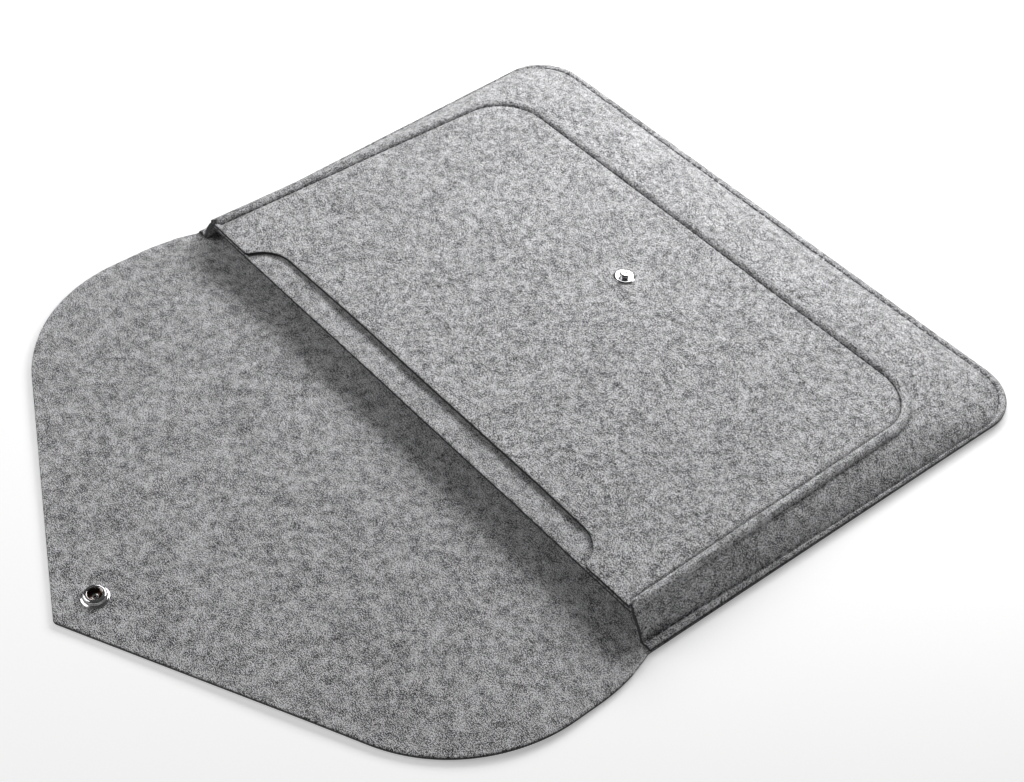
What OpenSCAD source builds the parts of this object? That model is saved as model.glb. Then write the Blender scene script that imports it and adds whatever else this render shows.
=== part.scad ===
// Felt laptop sleeve with a sewn side band, an outer pocket and a folding flap that closes with a snap.
// The sleeve lies open on its back. The origin is at the middle of the mouth, on the resting plane,
// +X along the mouth, +Y into the sleeve, +Z up. Millimetres.

/* [Felt] */
// Thickness of the felt sheets
felt_t = 2; // [1.75:0.25:2.25]
// Thickness of each felt edge where the raised seam squeezes it
edge_t = 1.5; // [1.2:0.1:1.6]

/* [Body] */
// Width across the far corners
body_w = 344; // [340:1:352]
// Width at the mouth
mouth_w = 329; // [326:1:336]
// Depth from the mouth to the far edge
body_d = 242; // [238:1:250]
// Radius of the two far corners
corner_r = 25; // [22:1:32]
// Width of the flange sewn to the back panel
flange_w = 5; // [4:0.5:6]

/* [Front] */
// Width across the turned-up edges of the front panel
front_w = 302; // [298:1:306]
// Depth of the front panel
front_d = 194; // [190:1:200]
// Radius of the front panel's far corners
front_r = 29; // [24:1:34]
// Height of the compartment's roof at the mouth
mouth_h = 13.8; // [13:0.1:15]
// Slope of the front panel down to the far end, in degrees
front_slope = 1.4; // [1:0.1:1.8]
// Height of the raised seam above the pocket panel
ridge_h = 1.5; // [1:0.25:2]
// How far the side wall of the band bellies out
side_belly = 0.8; // [0:0.1:1.5]
// How far the far wall of the band bellies out
far_belly = 2.4; // [1.5:0.1:3]

/* [Pocket] */
// Half the width of the finger scoop at the pocket's mouth
scoop_half = 122; // [100:1:126]
// Depth of the finger scoop
scoop_d = 14; // [10:1:20]
// Corner radius of the finger scoop
scoop_r = 16; // [10:1:20]

/* [Flap] */
// Height of the spine, the strip of the flap that spans the mouth
spine_l = 21.5; // [21:0.5:24]
// Distance from the mouth to the tip of the flap
flap_l = 182; // [175:1:190]
// Half the flap's width at its widest
flap_half = 170; // [167:1:173]
// Distance from the mouth to the flap's widest place
flap_wide_y = 32; // [25:1:45]
// Angle of the tip's edges to the mouth, in degrees
tip_angle = 27; // [25:0.5:29]
// Radius of the flap's shoulders
shoulder_r = 80; // [60:1:82]

/* [Snap] */
// Distance from the mouth to the snap socket on the flap
socket_y = 162; // [160:0.5:163]
// Radius of the snap cap and socket
cap_r = 6.2; // [6:0.1:7]
// Radius of the stud's base
stud_base_r = 5.4; // [5.2:0.1:6]
// Radius of the stud's head
head_r = 2.8; // [2.6:0.05:2.8]

/* [Hidden] */

felt_c = [0.52, 0.52, 0.53];
felt_light_c = [0.62, 0.62, 0.63];
thread_c = [0.2, 0.2, 0.21];
chrome_c = [0.82, 0.82, 0.84];
steel_c = [0.55, 0.5, 0.45];

arc_n = 10;                                // steps round each corner
far_n = 12;                                // steps along the far edge of the band
fold_gap = 1;                              // from the fold line to the front and pocket edges
fold_slit = 0.1;                           // between the felt solids that meet at a fold
ply_gap = 0.05;                            // air between two felt faces that lie together
pocket_z = felt_t + 0.1;                   // underside of the pocket panel above the front panel's
ridge_top = pocket_z + felt_t + ridge_h;   // top of the raised seam above the roof's plane
tip_y = -flap_l;
fold_y = -fold_gap;                        // fold between back panel and spine, at the inner face
fold2_y = fold_y - spine_l;                // fold between spine and flap, at the inner face

// Snap stack: the stud stands on the pocket panel and the socket hangs from the flap's inner face.
stud_base_t = 0.8;
socket_h = 2.8;
snap_gap = 0.15;
head_h = 2.8;                              // top of the stud's head above the pocket panel
neck_r = 2.15;
bore_r = 3.2;                              // hole in the socket
bore_floor = 0.6;                          // thickness of the socket's base plate
wire_r = 0.28;
wire_x = head_r + 0.2 + wire_r;            // spring wires, spread as they are round the head
wire_half = 2.2;                           // half the length of the straight part of each wire
wire_z = 1.95;                             // height of the spring above the flap's inner face
post_r = 1.6;
post_gap = 0.05;
rivet_r = 5;
rivet_t = 0.6;
cap_t = 0.9;

// The stud stands where the socket comes to when both folds are turned, seen in the front panel's plane:
// the second fold stands a spine's length above the first one, and the flap leans down from there.
fold2_shut = [fold_y * cos(front_slope) - (felt_t + spine_l - mouth_h) * sin(front_slope),
    fold_y * sin(front_slope) + (felt_t + spine_l - mouth_h) * cos(front_slope)];
snap_stack = pocket_z + felt_t + stud_base_t + snap_gap + socket_h;
socket_reach = socket_y + fold2_y;
stud_y = fold2_shut.x + sqrt(pow(socket_reach, 2) - pow(snap_stack - fold2_shut.y, 2));

stitch_pitch = 4.2;
stitch_l = 3.1;
thread_t = 0.5;

// --- plane of the front panel: local point to sleeve frame ---
function lift(p) = [p.x, p.y * cos(front_slope) + p.z * sin(front_slope),
    mouth_h - p.y * sin(front_slope) + p.z * cos(front_slope)];
module on_front() translate([0, 0, mouth_h]) rotate([-front_slope, 0, 0]) children();

// --- outlines ---
function arc(c, r, a0, a1, n) = [for (i = [0:n]) let (a = a0 + (a1 - a0) * i / n)
    [c.x + r * cos(a), c.y + r * sin(a)]];
function mirrored(pts) = [for (i = [len(pts) - 1:-1:0]) [-pts[i].x, pts[i].y]];
function both_sides(pts) = concat(pts, mirrored(pts));

body_c = [body_w / 2 - corner_r, body_d - corner_r];
body_outline = both_sides(concat([[mouth_w / 2, fold_y]], arc(body_c, corner_r, 0, 90, arc_n)));

front_c = [front_w / 2 - front_r, front_d - front_r];
function front_outline(inset, mouth_y = 0) = concat(
    [[front_w / 2 - inset, mouth_y]],
    arc(front_c, front_r - inset, 0, 90, arc_n),
    arc([-front_c.x, front_c.y], front_r - inset, 90, 180, arc_n),
    [[inset - front_w / 2, mouth_y]]);

scoop_c = [scoop_half - scoop_r, scoop_d - scoop_r];
scoop_outline = both_sides(concat([[scoop_half, scoop_c.y - 1]], arc(scoop_c, scoop_r, 0, 90, arc_n)));

// Flap: sides that swell from the mouth, round shoulders, then two straight edges to the tip.
function flap_side(y) = flap_half - (flap_half - mouth_w / 2) * pow(1 - min(-y / flap_wide_y, 1), 2);
shoulder_turn = 90 - tip_angle;
shoulder_c = [flap_half - shoulder_r,
    tip_y + flap_half * tan(tip_angle) + shoulder_r * tan(shoulder_turn / 2)];
spine_top = fold_y - fold_slit;
flap_top = fold2_y - fold_slit;
side_n = 4;                                // steps down each swelling side
function swelling(y0, y1) = [for (i = [0:side_n]) let (y = y0 + (y1 - y0) * i / side_n) [flap_side(y), y]];
spine_outline = both_sides(swelling(spine_top, fold2_y));
flap_outline = concat(
    swelling(flap_top, shoulder_c.y),
    arc(shoulder_c, shoulder_r, 0, -shoulder_turn, 2 * arc_n),
    [[0, tip_y]],
    arc([-shoulder_c.x, shoulder_c.y], shoulder_r, 180 + shoulder_turn, 180, 2 * arc_n),
    mirrored(swelling(flap_top, shoulder_c.y)));

// --- stitches: [x, y, direction] along a U-shaped seam ---
function seam_side(x0, x1, y1) = let (n = floor((y1 - 4) / stitch_pitch))
    [for (i = [0:n]) let (y = 4 + (y1 - 4) * i / n) [x0 + (x1 - x0) * y / y1, y, 90]];
function seam_corner(c, r) = let (n = round(r * PI / 2 / stitch_pitch))
    [for (i = [1:n - 1]) let (a = 90 * i / n) [c.x + r * cos(a), c.y + r * sin(a), a + 90]];
function seam_mirror(s) = [for (p = s) [-p.x, p.y, -p.z]];

// One lockstitch: a loop of thread through layers whose faces are at 0 and -depth.
module stitch(depth) {
    rotate([90, 0, 0]) linear_extrude(thread_t, center = true) difference() {
        translate([-stitch_l / 2, -depth]) square([stitch_l, depth]);
        translate([-stitch_l / 2 + thread_t, -depth + thread_t])
            square([stitch_l - 2 * thread_t, depth - 2 * thread_t]);
    }
}

// --- felt pieces of the body ---
module back_panel() color(felt_c) linear_extrude(felt_t) polygon(body_outline);

// A felt sheet whose edge turns up into the raised seam, except at the mouth.
module edged_sheet(inset, z) {
    translate([0, 0, z]) linear_extrude(felt_t) polygon(front_outline(inset));
    translate([0, 0, z]) linear_extrude(ridge_top - z) difference() {
        polygon(front_outline(inset));
        polygon(front_outline(inset + edge_t, -1));
    }
}

module front_panel() color(felt_light_c) on_front() edged_sheet(0, 0);

module pocket_panel() color(felt_light_c) on_front() difference() {
    edged_sheet(edge_t + ply_gap, pocket_z);
    translate([0, 0, pocket_z - 1]) linear_extrude(felt_t + 2) polygon(scoop_outline);
    translate([0, stud_y, pocket_z - 1]) cylinder(r = post_r, h = felt_t + 2, $fn = 48);
    translate([0, stud_y, pocket_z - 1]) cylinder(r = rivet_r, h = 1 + rivet_t, $fn = 64);
}

// The band: pairs of [point on the ridge, point on the outer edge, direction outward, belly].
band_path = concat(
    [for (i = [0:8]) let (f = i / 8)
        [[front_w / 2, f * front_c.y],
         [mouth_w / 2 + (body_w - mouth_w) / 2 * f, f * body_c.y], [1, 0], side_belly]],
    [for (i = [1:arc_n]) let (a = 90 * i / arc_n)
        [[front_c.x + front_r * cos(a), front_c.y + front_r * sin(a)],
         [body_c.x + corner_r * cos(a), body_c.y + corner_r * sin(a)], [cos(a), sin(a)],
         side_belly + (far_belly - side_belly) * i / arc_n]],
    [for (i = [1:far_n / 2]) let (f = 1 - 2 * i / far_n)
        [[front_c.x * f, front_d], [body_c.x * f, body_d], [0, 1], far_belly]]);
half_n = len(band_path);
band = concat(band_path, [for (i = [half_n - 2:-1:0]) let (s = band_path[i])
    [[-s[0].x, s[0].y], [-s[1].x, s[1].y], [-s[2].x, s[2].y], s[3]]]);

wall_n = 6;        // steps down the wall
skin_n = wall_n + 4;
// One cross-section: the outer face from the ridge's top to the flange's edge, then the inner face.
function band_section(s) = let (
    r0 = s[0], o = s[1], n = s[2],
    at = function (d, z) lift([r0.x + n.x * d, r0.y + n.y * d, z]),
    top = at(edge_t + ply_gap, pocket_z),
    under = at(ply_gap, pocket_z - 0.8 * felt_t),
    out = [o.x - top.x, o.y - top.y] / norm([o.x - top.x, o.y - top.y]),
    crease = [o.x - out.x * flange_w, o.y - out.y * flange_w, 2 * felt_t],
    run = norm([crease.x - top.x, crease.y - top.y]),
    bend = atan2(top.z - crease.z, run),
    inner = [crease.x - out.x * felt_t * tan(bend / 2), crease.y - out.y * felt_t * tan(bend / 2), felt_t],
    swell = function (a, b, u) a + (b - a) * u
        + s[3] * 4 * u * (1 - u) * [out.x * sin(bend), out.y * sin(bend), cos(bend)])
    concat(
        [at(0.7 * edge_t, ridge_top), at(edge_t + ply_gap, ridge_top - 0.5)],
        [for (i = [0:wall_n]) swell(top, crease, i / wall_n)],
        [[o.x, o.y, 2 * felt_t]],
        [at(ply_gap, ridge_top), at(ply_gap, ridge_top - 0.5)],
        [for (i = [0:wall_n]) swell(under, inner, i / wall_n)],
        [[o.x, o.y, felt_t]]);

module gusset() color(felt_c) {
    sec_n = 2 * skin_n;
    cnt = len(band);
    pts = [for (s = band) each band_section(s)];
    quad = function (a, b, c, d) [[a, b, c], [a, c, d]];
    polyhedron(pts, concat(
        [for (i = [0:cnt - 2], j = [0:skin_n - 2]) let (a = i * sec_n + j, b = a + sec_n)
            each quad(a, b, b + 1, a + 1)],
        [for (i = [0:cnt - 2], j = [0:skin_n - 2]) let (a = i * sec_n + skin_n + j, b = a + sec_n)
            each quad(a, a + 1, b + 1, b)],
        [for (i = [0:cnt - 2]) let (a = i * sec_n, b = a + sec_n) each quad(a, a + skin_n, b + skin_n, b)],
        [for (i = [0:cnt - 2]) let (a = i * sec_n + skin_n - 1, b = a + sec_n)
            each quad(a, b, b + skin_n, a + skin_n)],
        [for (j = [0:skin_n - 2]) each quad(j, j + 1, skin_n + j + 1, skin_n + j)],
        [for (j = [0:skin_n - 2]) let (e = (cnt - 1) * sec_n)
            each quad(e + j, e + skin_n + j, e + skin_n + j + 1, e + j + 1)]));
}

// --- threads ---
module ridge_thread() color(thread_c) on_front() {
    depth = 3 * edge_t + 3 * ply_gap + thread_t;
    reach = edge_t + ply_gap + thread_t / 2;
    right = concat(seam_side(front_w / 2, front_w / 2, front_c.y), seam_corner(front_c, front_r));
    far_k = floor(front_c.x / stitch_pitch);
    far = [for (i = [-far_k:far_k]) [i * front_c.x / far_k, front_d, 180]];
    for (s = concat(right, seam_mirror(right), far))
        translate([s.x, s.y, pocket_z + felt_t + ridge_h / 2]) rotate([0, 0, s.z])
            rotate([90, 0, 0]) translate([0, 0, reach]) stitch(depth);
}

module base_thread() color(thread_c) {
    seam_in = flange_w - 1;
    depth = 2 * felt_t + thread_t / 2;
    right = concat(
        seam_side(mouth_w / 2 - seam_in, body_w / 2 - seam_in, body_c.y),
        seam_corner(body_c, corner_r - seam_in));
    far_k = floor(body_c.x / stitch_pitch);
    far = [for (i = [-far_k:far_k]) [i * body_c.x / far_k, body_d - seam_in, 180]];
    for (s = concat(right, seam_mirror(right), far))
        translate([s.x, s.y, depth]) rotate([0, 0, s.z]) stitch(depth);
}

// --- snap ---
module snap_stud() color(chrome_c) on_front() translate([0, stud_y, pocket_z + felt_t])
    rotate_extrude($fn = 72) difference() {
        polygon(concat(
            [[0, 0], [stud_base_r, 0], [stud_base_r, 0.3], [stud_base_r - 0.4, 0.65],
             [stud_base_r - 1, stud_base_t], [neck_r + 1.4, stud_base_t], [neck_r + 0.6, 0.5],
             [neck_r, 0.6], [neck_r, 1.4]],
            arc([head_r - 0.5, 1.9], 0.5, -50, 60, 6),
            [[head_r - 0.7, head_h - 0.2], [head_r - 1.2, head_h], [0, head_h]]));
        square([post_r - 0.7, head_h - 0.7]);
    }

module stud_rivet() color(steel_c) on_front() translate([0, stud_y, pocket_z])
    rotate_extrude($fn = 64) difference() {
        polygon([[0, 0], [rivet_r - post_gap, 0], [rivet_r - post_gap, rivet_t - post_gap],
            [post_r - post_gap, rivet_t - post_gap], [post_r - post_gap, felt_t - post_gap],
            [post_r - 0.75, felt_t - post_gap], [post_r - 0.75, felt_t + 2], [0, felt_t + 2]]);
        square([0.5, felt_t + 3]);
    }

module flap_spine() color(felt_light_c) linear_extrude(felt_t) polygon(spine_outline);

module flap_panel() color(felt_light_c) difference() {
    linear_extrude(felt_t) polygon(flap_outline);
    translate([0, -socket_y, -1]) cylinder(r = post_r, h = felt_t + 2, $fn = 48);
    translate([0, -socket_y, -1]) cylinder(r = cap_r, h = 1 + cap_t, $fn = 72);
}

// Socket: a rolled chrome ring round the bore, with a groove inside that holds the spring.
module snap_socket() color(chrome_c) translate([0, -socket_y, felt_t])
    rotate_extrude($fn = 72) difference() {
        polygon(concat(
            [[0, 0], [cap_r, 0], [cap_r, 0.5]],
            [[cap_r - 0.5, 1]],
            arc([cap_r - 2.1, socket_h - 1.1], 1.1, 10, 90, 6),
            [[bore_r + 0.5, socket_h], [bore_r, socket_h - 0.3], [bore_r, bore_floor], [0, bore_floor]]));
        translate([0, -1]) square([post_r, 3]);
        translate([bore_r - 0.5, wire_z - 0.4]) square([1.7, 0.8]);
    }

// Spring: one closed loop of wire, two straight sides joined by two arcs that lie in the socket's groove.
module snap_spring() color(steel_c) translate([0, -socket_y, felt_t + wire_z]) {
    loop_r = norm([wire_x, wire_half]);
    turn = atan2(wire_half, wire_x);
    for (side = [90, 270]) rotate([0, 0, side]) {
        translate([wire_x, 0, 0]) rotate([90, 0, 0])
            cylinder(r = wire_r, h = 2 * wire_half, center = true, $fn = 24);
        rotate([0, 0, turn]) rotate_extrude(angle = 180 - 2 * turn, $fn = 48)
            translate([loop_r, 0]) circle(r = wire_r, $fn = 24);
        for (y = [-wire_half, wire_half]) translate([wire_x, y, 0]) sphere(r = wire_r, $fn = 24);
    }
}

module snap_cap() color(chrome_c) translate([0, -socket_y, 0])
    rotate_extrude($fn = 72) polygon([[0, 0], [cap_r - 0.9, 0], [cap_r - 0.2, 0.35],
        [cap_r - post_gap, cap_t - post_gap], [post_r - post_gap, cap_t - post_gap],
        [post_r - post_gap, felt_t + 0.5], [post_r - 0.3, felt_t + 0.7], [0, felt_t + 0.7]]);

back_panel();
gusset();
front_panel();
pocket_panel();
ridge_thread();
base_thread();
snap_stud();
stud_rivet();
flap_spine();
flap_panel();
snap_socket();
snap_spring();
snap_cap();
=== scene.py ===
"""Looks of an open felt laptop sleeve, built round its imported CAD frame.

Lengths are millimetres while a shape is worked out, and metres in every Blender object.
"""
import math
import bpy
import numpy as np
from mathutils import Matrix, Vector, noise
from mathutils.geometry import delaunay_2d_cdt


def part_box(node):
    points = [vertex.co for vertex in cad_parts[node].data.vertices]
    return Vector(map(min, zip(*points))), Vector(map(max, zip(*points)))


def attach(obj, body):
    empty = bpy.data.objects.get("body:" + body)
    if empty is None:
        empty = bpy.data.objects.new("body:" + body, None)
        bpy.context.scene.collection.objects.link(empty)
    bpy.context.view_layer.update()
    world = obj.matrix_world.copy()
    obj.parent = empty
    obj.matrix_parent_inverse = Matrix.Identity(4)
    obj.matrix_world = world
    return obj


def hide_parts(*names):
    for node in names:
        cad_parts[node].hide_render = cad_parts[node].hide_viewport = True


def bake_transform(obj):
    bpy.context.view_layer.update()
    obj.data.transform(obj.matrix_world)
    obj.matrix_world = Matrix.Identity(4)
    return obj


MM = 0.001
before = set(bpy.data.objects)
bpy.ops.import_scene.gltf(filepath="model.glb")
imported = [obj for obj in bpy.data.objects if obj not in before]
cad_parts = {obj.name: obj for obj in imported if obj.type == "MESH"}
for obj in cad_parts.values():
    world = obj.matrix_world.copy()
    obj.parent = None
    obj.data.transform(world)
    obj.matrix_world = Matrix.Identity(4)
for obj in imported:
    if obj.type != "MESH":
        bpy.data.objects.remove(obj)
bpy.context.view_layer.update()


# ---------------------------------------------------------------- sizes, from the frame and the design
def box_mm(node):
    """Lowest and highest corner of a CAD node, in millimetres."""
    low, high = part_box(node)
    return np.array(low) / MM, np.array(high) / MM


BACK_LO, BACK_HI = box_mm("back_panel")
FRONT_HI = box_mm("front_panel")[1]
FLAP_LO, FLAP_HI = box_mm("flap_panel")
SPINE_LO = box_mm("flap_spine")[0]
SOCKET_LO, SOCKET_HI = box_mm("snap_socket")
STUD_LO, STUD_HI = box_mm("snap_stud")

FELT_T = BACK_HI[2] - BACK_LO[2]
BODY_HALF = BACK_HI[0]
FAR_Y = BACK_HI[1]
FOLD_Y = BACK_LO[1]
FOLD2_Y = SPINE_LO[1]
TIP_Y = FLAP_LO[1]
FLAP_HALF = FLAP_HI[0]
SOCKET = (SOCKET_LO + SOCKET_HI) / 2
FRONT_HALF = FRONT_HI[0]

MOUTH_HALF = 164.5          # half the width at the mouth
CORNER_R = 25.0             # far corners of the back and band
FRONT_R = 29.0              # far corners of the front panels
FRONT_D = 194.0             # depth of the front panel
MOUTH_H = 13.8              # height of the compartment's roof at the mouth
SLOPE = math.radians(1.4)   # of the front panels, down to the far end
EDGE_T = 1.5                # a felt edge squeezed by the raised seam
PLY_GAP = 0.05
POCKET_Z = FELT_T + 0.1     # underside of the pocket sheet, above the front sheet's
RIDGE_TOP = POCKET_Z + FELT_T + 1.5
FLANGE_W = 5.0
SEAM_IN = 4.0               # flange seam, in from the outer edge
SIDE_BELLY, FAR_BELLY = 0.8, 2.4
SCOOP_HALF, SCOOP_D, SCOOP_R = 122.0, 14.0, 16.0
FLAP_WIDE_Y = 32.0
TIP_SLOPE = math.tan(math.radians(27))
SHOULDER_R = 80.0
PITCH = 4.2                 # stitch pitch
STITCH_L = 3.1
THREAD_R = 0.26
BASE_TOP_Z = 2 * FELT_T - 0.62      # flange stitches above the felt, and below it
BASE_UNDER_Z = 0.42
# Where the back sheet's two pieces meet, on the stiff part of the spine.
SPLIT_Y = (FOLD_Y + FOLD2_Y) / 2 - 0.5


def roof(points):
    """Carries points from the front panels' own plane into the sleeve's frame."""
    p = np.asarray(points, float)
    c, s = math.cos(SLOPE), math.sin(SLOPE)
    x, y, z = p[..., 0], p[..., 1], p[..., 2]
    return np.stack([x, y * c + z * s, MOUTH_H - y * s + z * c], -1)


def smooth(t):
    t = np.clip(t, 0, 1)
    return t * t * (3 - 2 * t)


def waves(points, scale, seed):
    """Smooth noise between about -1 and 1 at each point's x and y; scale is the wave's length."""
    return np.array([noise.noise(Vector((p[0] / scale, p[1] / scale, seed))) for p in points]) * 1.6


# ---------------------------------------------------------------- outlines
def run(p, q, step):
    """Points from p towards q, without q."""
    n = max(1, round(math.dist(p, q) / step))
    return [(p[0] + (q[0] - p[0]) * i / n, p[1] + (q[1] - p[1]) * i / n) for i in range(n)]


def arc(centre, r, a0, a1, step):
    """Points round an arc from angle a0 towards a1, in degrees, without the last."""
    n = max(3, round(abs(math.radians(a1 - a0)) * r / step))
    angles = [math.radians(a0 + (a1 - a0) * i / n) for i in range(n)]
    return [(centre[0] + r * math.cos(a), centre[1] + r * math.sin(a)) for a in angles]


def mitres(outline):
    """Outward vectors at the corners of a counter-clockwise outline, a unit from each edge."""
    d = np.roll(outline, -1, 0) - outline
    d /= np.linalg.norm(d, axis=1)[:, None]
    n = np.stack([d[:, 1], -d[:, 0]], 1)
    before = np.roll(n, 1, 0)
    return (n + before) / (1 + (n * before).sum(1))[:, None]


def side_x(y):
    """Half the width of the back sheet and flap at y."""
    y = np.asarray(y, float)
    body = MOUTH_HALF + (BODY_HALF - MOUTH_HALF) * (y - FOLD_Y) / (FAR_Y - CORNER_R - FOLD_Y)
    flap = FLAP_HALF - (FLAP_HALF - MOUTH_HALF) * (1 - np.clip(-y / FLAP_WIDE_Y, 0, 1)) ** 2
    return np.where(y > FOLD_Y, body, flap)


def bead(d):
    """Height of the raised seam's round top, d out from the front sheet's edge."""
    middle, half = -EDGE_T / 2, 1.5 * EDGE_T + PLY_GAP
    return RIDGE_TOP - 1.7 + 1.65 * math.sqrt(max(0.0, 1 - ((d - middle) / half) ** 2))


# ---------------------------------------------------------------- meshes
def add_mesh(name, verts, faces, felt_co=None, sharp=50, cut=None):
    """A closed mesh from millimetre points.

    felt_co is where each point lies on the uncut cloth, and cut is 1 where it is on a cut edge, which gets
    painted shade.
    """
    mesh = bpy.data.meshes.new(name)
    mesh.from_pydata([tuple(v) for v in np.asarray(verts) * MM], [], faces)
    mesh.validate()
    mesh.update()
    if felt_co is not None:
        att = mesh.attributes.new("felt", "FLOAT_VECTOR", "POINT")
        att.data.foreach_set("vector", np.asarray(felt_co, np.float32).ravel())
    if cut is not None:
        att = mesh.attributes.new("cut", "FLOAT", "POINT")
        att.data.foreach_set("value", np.asarray(cut, np.float32))
    mesh.shade_smooth()
    if sharp:
        mesh.set_sharp_from_angle(angle=math.radians(sharp))
    obj = bpy.data.objects.new(name, mesh)
    bpy.context.scene.collection.objects.link(obj)
    return obj


def inside(points, loop):
    """Which points lie inside a closed loop."""
    x, y = points[:, 0][:, None], points[:, 1][:, None]
    a, b = loop, np.roll(loop, -1, 0)
    cross = (a[:, 1] > y) != (b[:, 1] > y)
    with np.errstate(divide="ignore", invalid="ignore"):
        at = (b[:, 0] - a[:, 0]) * (y - a[:, 1]) / (b[:, 1] - a[:, 1]) + a[:, 0]
    return (cross & (x < at)).sum(1) % 2 == 1


def fill(loop, spacing, dots):
    """Triangles that fill a loop evenly: inner points and faces, whose first indices are the loop's own."""
    low, high = loop.min(0), loop.max(0)
    xs = np.arange(low[0], high[0], spacing)
    ys = np.arange(low[1], high[1], spacing * math.sqrt(3) / 2)
    grid = np.array([(x + spacing / 2 * (j % 2), y) for j, y in enumerate(ys) for x in xs])
    clear = np.ones(len(grid), bool)
    for c, r in dots:
        clear &= np.hypot(grid[:, 0] - c[0], grid[:, 1] - c[1]) > r + spacing * 0.6
    grid = grid[clear]
    grid = grid[inside(grid, loop)]
    gap = np.full(len(grid), 1e9)
    for p in loop:
        gap = np.minimum(gap, np.hypot(grid[:, 0] - p[0], grid[:, 1] - p[1]))
    grid = grid[gap > spacing * 0.6]
    rings = [(c[0] + q * math.cos(a), c[1] + q * math.sin(a))
             for c, r in dots for q in np.linspace(r / 8, r, 8)
             for a in np.linspace(0, 2 * math.pi, max(6, round(2 * math.pi * q / 1.2)), endpoint=False)]
    inner = np.vstack([grid, rings]) if rings else grid
    coords = [Vector(p) for p in loop] + [Vector(p) for p in inner]
    n = len(loop)
    border = [(i, (i + 1) % n) for i in range(n)]
    _, _, tris, source, _, _ = delaunay_2d_cdt(coords, border, [], 1, 1e-6)
    keep = [s[0] if s else None for s in source]
    return inner, [tuple(keep[i] for i in t) for t in tris]


def felt_sheet(outline, profile, spacing=4.0, dots=(), tags=None):
    """A sheet with a shaped edge.

    profile(tag) gives (out, z) pairs over the edge from the top's rim to the bottom's. dots are (centre, r)
    to mesh finely. Returns the points in the sheet's own plane, the faces, and how far each is on a cut edge,
    which is how much painted edge shade it gets.
    """
    outline = np.asarray(outline, float)
    n = len(outline)
    tags = np.zeros(n) if tags is None else np.asarray(tags, float)
    away = mitres(outline)
    edge = np.stack([profile(t) for t in tags])
    k = edge.shape[1]
    rings = [np.column_stack([outline + away * edge[:, j, :1], edge[:, j, 1]]) for j in range(k)]
    verts = list(np.vstack(rings))
    first = 3 if k == 11 else 4
    # How much painted edge shade each ring of the edge profile gets; butt-tagged edges get none.
    share = np.array([0.0] * first + [0.5] + [1.0] * (k - first - 2) + [0.0])
    cut = np.outer(share, 1 - tags).ravel()
    faces = [(j * n + i, (j + 1) * n + i, (j + 1) * n + (i + 1) % n, j * n + (i + 1) % n)
             for j in range(k - 1) for i in range(n)]
    for j, turn in ((0, 1), (k - 1, -1)):
        inner, tris = fill(rings[j][:, :2], spacing, dots)
        z = rings[j][:, 2].mean()
        base = len(verts)
        verts += [(x, y, z) for x, y in inner]
        for t in tris:
            t = [j * n + i if i < n else base + i - n for i in t]
            a, b, c = (np.asarray(verts[i])[:2] for i in t)
            up = (b[0] - a[0]) * (c[1] - a[1]) - (b[1] - a[1]) * (c[0] - a[0]) > 0
            faces.append(tuple(t) if up == (turn > 0) else tuple(reversed(t)))
    return np.array(verts, float), faces, np.concatenate([cut, np.zeros(len(verts) - len(cut))])


# Edge of a cut sheet as (mm out, share of its thickness), from 1.6 mm in on the top round to the same on the
# bottom, and a square butt of as many points.
CUT = np.array([(-1.6, 1), (-0.9, 0.995), (-0.45, 0.965), (-0.16, 0.87), (0, 0.68), (0.02, 0.5), (0, 0.3),
                (-0.14, 0.12), (-0.42, 0.03), (-0.9, 0), (-1.6, 0)])
BUTT = np.array([(-1.6, 1), (-0.8, 1), (-0.25, 1), (0, 1), (0, 0.75), (0, 0.5), (0, 0.25),
                 (0, 0), (-0.25, 0), (-0.8, 0), (-1.6, 0)])


# The back sheet's own edge, drawn in under the flange by the seam.
PULLED = np.array([(-1.6, 1), (-0.9, 1), (-0.45, 0.99), (-0.16, 0.96), (0, 0.88), (0.02, 0.76), (-0.04, 0.64),
                   (-0.3, 0.44), (-0.8, 0.22), (-1.5, 0.06), (-2.4, 0)])


def cut_or_butt(tag):
    both = CUT + (BUTT - CUT) * tag
    return np.column_stack([both[:, 0], both[:, 1] * FELT_T])


def pulled_or_butt(tag):
    both = PULLED + (BUTT - PULLED) * tag
    return np.column_stack([both[:, 0], both[:, 1] * FELT_T])


def press(verts, centre, r, top, depth):
    """Felt pressed down, or up from below, under a disc of radius r."""
    d = np.hypot(verts[:, 0] - centre[0], verts[:, 1] - centre[1])
    fall = 1 - smooth((d - r) / (0.6 * r))
    chosen = verts[:, 2] > FELT_T / 2 if top else verts[:, 2] < FELT_T / 2
    verts[:, 2] += np.where(chosen, depth * fall, 0)


# ---------------------------------------------------------------- the back sheet and the flap
def back_outline():
    step = 2.0
    side = [(float(side_x(y)), y) for y in (SPLIT_Y, SPLIT_Y + 4, SPLIT_Y + 8, FOLD_Y)]
    corner = (BODY_HALF - CORNER_R, FAR_Y - CORNER_R)
    half = side[:-1] + run(side[-1], (BODY_HALF, corner[1]), step) + arc(corner, CORNER_R, 0, 90, step)
    butt = run((-side[0][0], SPLIT_Y), side[0], step)
    far = run((corner[0], FAR_Y), (-corner[0], FAR_Y), step)
    mirror = [(-x, y) for x, y in half[1:]][::-1]
    outline = butt + half + far + [(-corner[0], FAR_Y)] + mirror
    tags = [1.0] * (len(butt) + 1) + [0.0] * (len(outline) - len(butt) - 1)
    return outline, tags


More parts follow.
